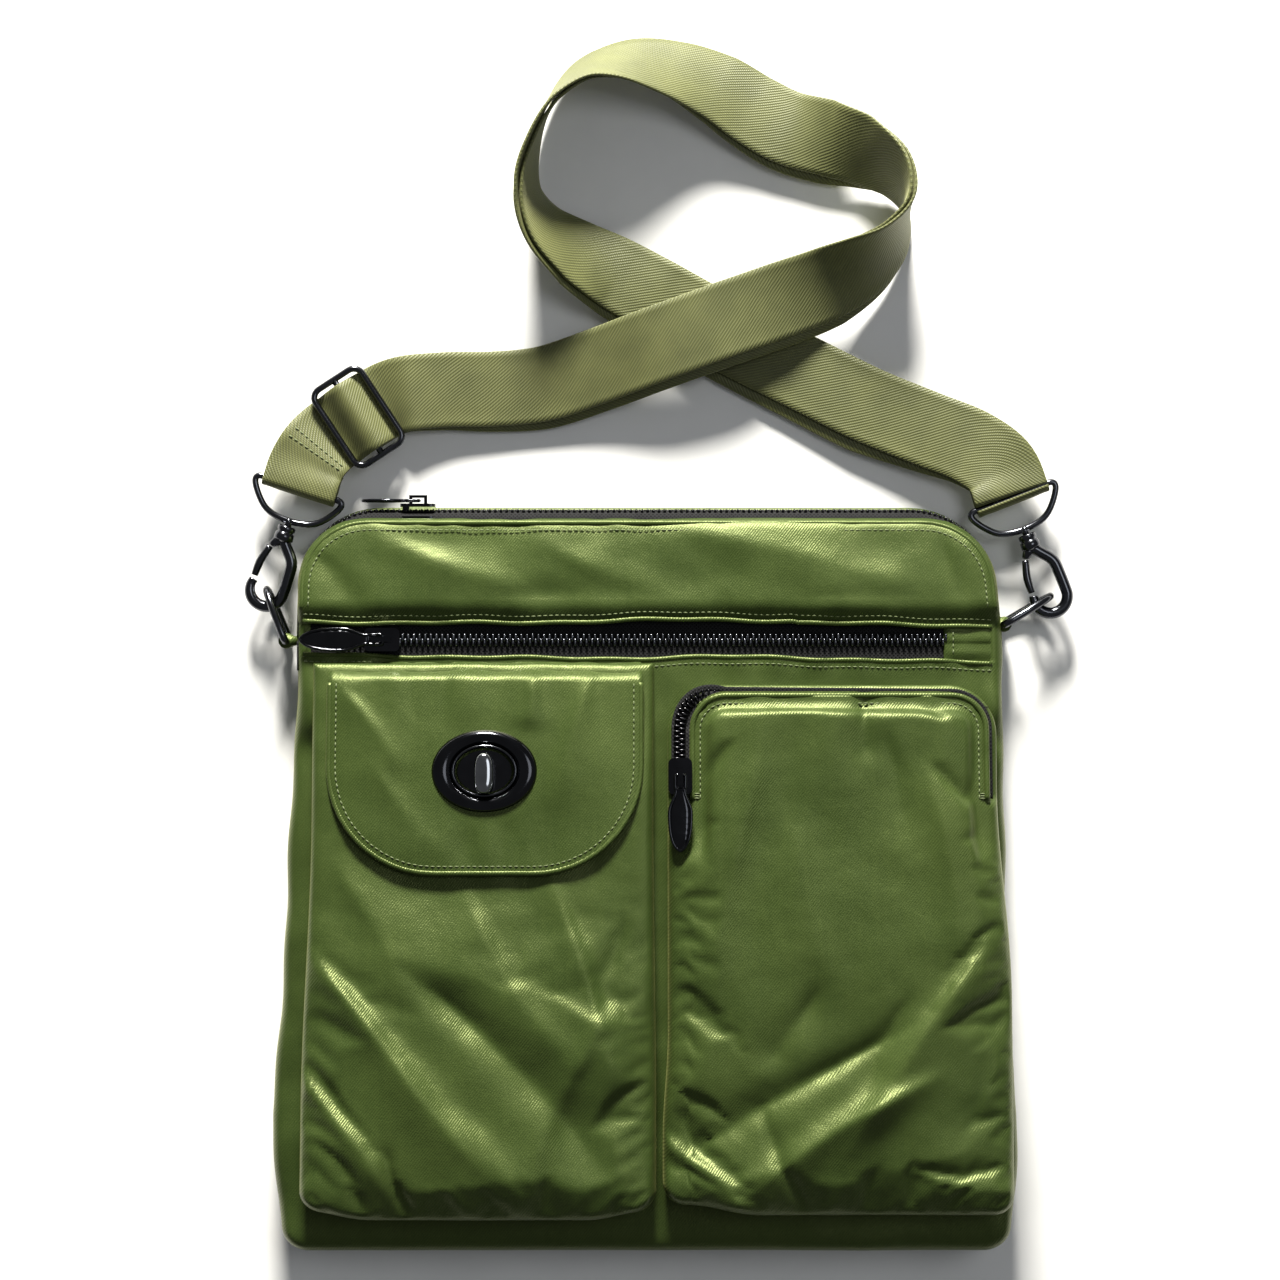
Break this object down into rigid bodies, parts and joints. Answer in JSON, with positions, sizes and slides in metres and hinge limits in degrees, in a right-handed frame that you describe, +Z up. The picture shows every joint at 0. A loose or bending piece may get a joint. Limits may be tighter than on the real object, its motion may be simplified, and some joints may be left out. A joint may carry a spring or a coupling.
{
  "type": "crossbody purse",
  "caption": "Soft green nylon crossbody purse with front flap pocket, zip pockets, turn-lock and a clip-on webbing shoulder strap.",
  "frame": {"origin": "on the flat back panel, halfway across the body and 146 mm up from its base", "axes": "+X to the right of the front face, +Y from the base to the top zip, +Z out of the front; the purse lies on its back, so +Z is up"},
  "size_m": [0.3279, 0.4798, 0.0531],
  "materials": {
    "nylon": "olive green satin nylon twill, soft sheen",
    "lining": "dark woven lining",
    "zip_tape": "black herringbone zip tape",
    "gunmetal": "polished gunmetal plating",
    "black_metal": "glossy black nickel plating",
    "webbing": "olive green woven twill webbing"
  },
  "bodies": {
    "purse": {"back_panel": "nylon", "front_yoke_panel": "nylon", "front_lower_panel": "nylon", "left_side_gusset": "nylon", "right_side_gusset": "nylon", "base_gusset": "nylon", "front_zip_pocket_lining": "lining", "front_zip_teeth_upper": "gunmetal", "front_zip_teeth_lower": "gunmetal", "front_zip_tape_upper": "zip_tape", "front_zip_tape_lower": "zip_tape", "front_zip_end_tab": "nylon", "top_zip_teeth_front": "gunmetal", "top_zip_teeth_back": "gunmetal", "top_zip_tape_front": "zip_tape", "top_zip_tape_back": "zip_tape", "left_pocket_front": "nylon", "left_pocket_left_wall": "nylon", "left_pocket_right_wall": "nylon", "left_pocket_base_wall": "nylon", "flap_top_fold": "nylon", "turn_lock_base": "black_metal", "right_pocket_front": "nylon", "right_pocket_left_wall": "nylon", "right_pocket_right_wall": "nylon", "right_pocket_base_wall": "nylon", "right_pocket_zip_wall": "nylon", "right_pocket_zip_teeth_inner": "gunmetal", "right_pocket_zip_teeth_outer": "gunmetal", "right_pocket_zip_tape_inner": "zip_tape", "right_pocket_zip_tape_outer": "zip_tape", "strap_outer_webbing": "webbing", "strap_inner_webbing": "webbing", "strap_slider": "gunmetal", "left_ring_tab": "nylon", "right_ring_tab": "nylon"},
    "flap": {"flap": "nylon", "turn_lock_plate": "black_metal"},
    "knob": {"turn_lock_knob": "black_metal"},
    "front_zip_slider": {"front_zip_slider": "black_metal"},
    "front_zip_pull": {"front_zip_pull": "black_metal"},
    "top_zip_slider": {"top_zip_slider": "black_metal"},
    "top_zip_pull": {"top_zip_pull": "black_metal"},
    "right_pocket_zip_slider": {"right_pocket_zip_slider": "black_metal"},
    "right_pocket_zip_pull": {"right_pocket_zip_pull": "black_metal"},
    "left_ring": {"left_d_ring": "gunmetal"},
    "left_eye": {"left_swivel_eye": "gunmetal"},
    "left_hook": {"left_snap_hook": "gunmetal"},
    "left_gate": {"left_hook_gate": "gunmetal"},
    "right_ring": {"right_d_ring": "gunmetal"},
    "right_eye": {"right_swivel_eye": "gunmetal"},
    "right_hook": {"right_snap_hook": "gunmetal"},
    "right_gate": {"right_hook_gate": "gunmetal"}
  },
  "joints": [
    {"name": "flap_hinge", "type": "hinge", "parent": "purse", "child": "flap", "pos_m": [0, 0.08, 0.0273], "axis": [-1, 0, 0], "range_deg": [0, 160]},
    {"name": "turn_lock_turn", "type": "hinge", "parent": "purse", "child": "knob", "pos_m": [-0.0625, 0.0407, 0.03108], "axis": [0, 0.1281, 0.9918], "range_deg": [0, 90]},
    {"name": "front_zip_slide", "type": "slide", "parent": "purse", "child": "front_zip_slider", "axis": [1, 0, 0], "range_m": [0, 0.212]},
    {"name": "front_zip_pull_swing", "type": "hinge", "parent": "front_zip_slider", "child": "front_zip_pull", "pos_m": [-0.1035, 0.09222, 0.02274], "axis": [0, 0.9981, -0.0624], "range_deg": [0, 170]},
    {"name": "top_zip_slide", "type": "slide", "parent": "purse", "child": "top_zip_slider", "axis": [1, 0, 0], "range_m": [0, 0.185]},
    {"name": "top_zip_pull_swing", "type": "hinge", "parent": "top_zip_slider", "child": "top_zip_pull", "pos_m": [-0.09, 0.1473, 0.009], "axis": [0, 0, -1], "range_deg": [0, 170]},
    {"name": "right_pocket_zip_slide", "type": "slide", "parent": "purse", "child": "right_pocket_zip_slider", "axis": [0, 0.9944, -0.1056], "range_m": [0, 0.014]},
    {"name": "right_pocket_zip_pull_swing", "type": "hinge", "parent": "right_pocket_zip_slider", "child": "right_pocket_zip_pull", "pos_m": [0.0136, 0.03937, 0.03875], "axis": [-1, 0, 0], "range_deg": [0, 170]},
    {"name": "left_ring_swing", "type": "hinge", "parent": "purse", "child": "left_ring", "pos_m": [-0.1418, 0.09258, 0.0105], "axis": [0, 0, 1], "range_deg": [-3, 3]},
    {"name": "left_eye_swing", "type": "hinge", "parent": "purse", "child": "left_eye", "pos_m": [-0.137, 0.152, 0.0105], "axis": [0.9411, -0.3381, 0], "range_deg": [-1.5, 1.5]},
    {"name": "left_swivel", "type": "hinge", "parent": "left_eye", "child": "left_hook", "pos_m": [-0.137, 0.152, 0.0105], "axis": [-0.3381, -0.9411, 0], "range_deg": [-3, 3]},
    {"name": "left_gate_spring", "type": "hinge", "parent": "left_hook", "child": "left_gate", "pos_m": [-0.14951, 0.12929, 0.0105], "axis": [0, 0, 1], "range_deg": [0, 20], "stiffness_Nm_per_rad": 0.01, "springref_deg": -11.46},
    {"name": "right_ring_swing", "type": "hinge", "parent": "purse", "child": "right_ring", "pos_m": [0.1418, 0.09822, 0.0105], "axis": [0, 0, 1], "range_deg": [-3, 3]},
    {"name": "right_eye_swing", "type": "hinge", "parent": "purse", "child": "right_eye", "pos_m": [0.1455, 0.1485, 0.0105], "axis": [0.9316, 0.3634, 0], "range_deg": [-1.5, 1.5]},
    {"name": "right_swivel", "type": "hinge", "parent": "right_eye", "child": "right_hook", "pos_m": [0.1455, 0.1485, 0.0105], "axis": [0.3634, -0.9316, 0], "range_deg": [-3, 3]},
    {"name": "right_gate_spring", "type": "hinge", "parent": "right_hook", "child": "right_gate", "pos_m": [0.15099, 0.12316, 0.0105], "axis": [0, 0, 1], "range_deg": [0, 20], "stiffness_Nm_per_rad": 0.01, "springref_deg": -11.46}
  ]
}
